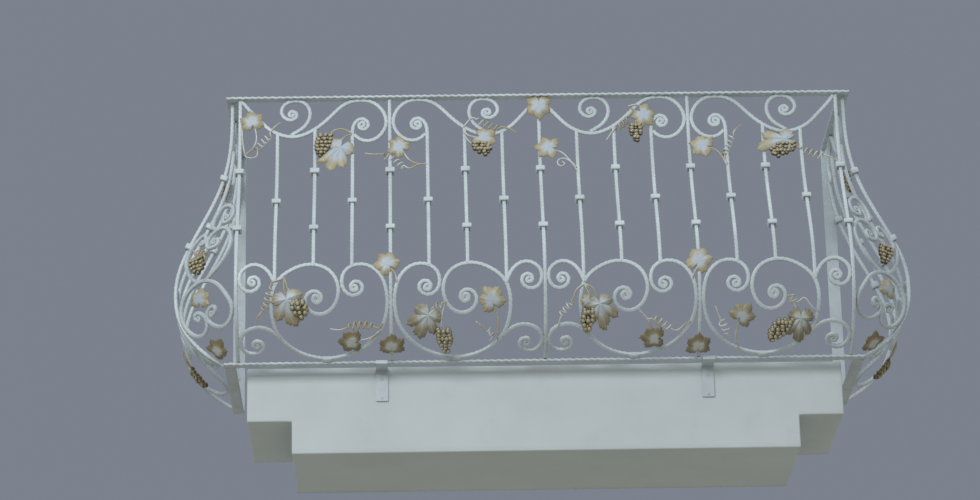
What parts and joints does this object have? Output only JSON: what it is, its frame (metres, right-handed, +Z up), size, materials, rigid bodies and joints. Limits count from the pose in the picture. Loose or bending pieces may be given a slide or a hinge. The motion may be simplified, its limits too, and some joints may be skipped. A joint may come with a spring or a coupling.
{
  "type": "wrought iron balcony",
  "caption": "Bellied wrought iron balcony railing with scrollwork, vine leaves and grape clusters, on a plastered slab that stands out from a wall.",
  "frame": {"origin": "middle of the slab's flat back face, which lies against the wall", "axes": "+X along the wall to the right seen from outside, +Y into the wall, -Y outward, +Z up"},
  "size_m": [2.5298, 0.7372, 1.28],
  "materials": {
    "white_painted_iron": "satin",
    "plastered_concrete": "matte",
    "leaf_paint": "satin",
    "grape_paint": "satin"
  },
  "bodies": {
    "root": {"bottom_rail_front": "white_painted_iron", "bottom_rail_left": "white_painted_iron", "bottom_rail_right": "white_painted_iron", "bracket_left": "white_painted_iron", "bracket_right": "white_painted_iron", "corner_scroll_left": "white_painted_iron", "corner_scroll_right": "white_painted_iron", "downstand": "plastered_concrete", "front_bars_1": "white_painted_iron", "front_bars_2": "white_painted_iron", "front_bars_3": "white_painted_iron", "front_bars_4": "white_painted_iron", "front_cups_1": "white_painted_iron", "front_cups_2": "white_painted_iron", "front_cups_3": "white_painted_iron", "front_cups_4": "white_painted_iron", "front_heart_1": "white_painted_iron", "front_heart_2": "white_painted_iron", "front_heart_3": "white_painted_iron", "front_heart_4": "white_painted_iron", "front_post_1": "white_painted_iron", "front_post_2": "white_painted_iron", "front_post_3": "white_painted_iron", "front_post_4": "white_painted_iron", "front_post_5": "white_painted_iron", "front_wave_1": "white_painted_iron", "front_wave_2": "white_painted_iron", "front_wave_3": "white_painted_iron", "front_wave_4": "white_painted_iron", "grape_clusters": "grape_paint", "side_bars_left": "white_painted_iron", "side_bars_right": "white_painted_iron", "side_cups_left": "white_painted_iron", "side_cups_right": "white_painted_iron", "side_heart_left": "white_painted_iron", "side_heart_right": "white_painted_iron", "side_wave_left": "white_painted_iron", "side_wave_right": "white_painted_iron", "slab": "plastered_concrete", "top_rail_front": "white_painted_iron", "top_rail_left": "white_painted_iron", "top_rail_right": "white_painted_iron", "vine_leaves": "leaf_paint", "wall_post_left": "white_painted_iron", "wall_post_right": "white_painted_iron"}
  },
  "joints": []
}
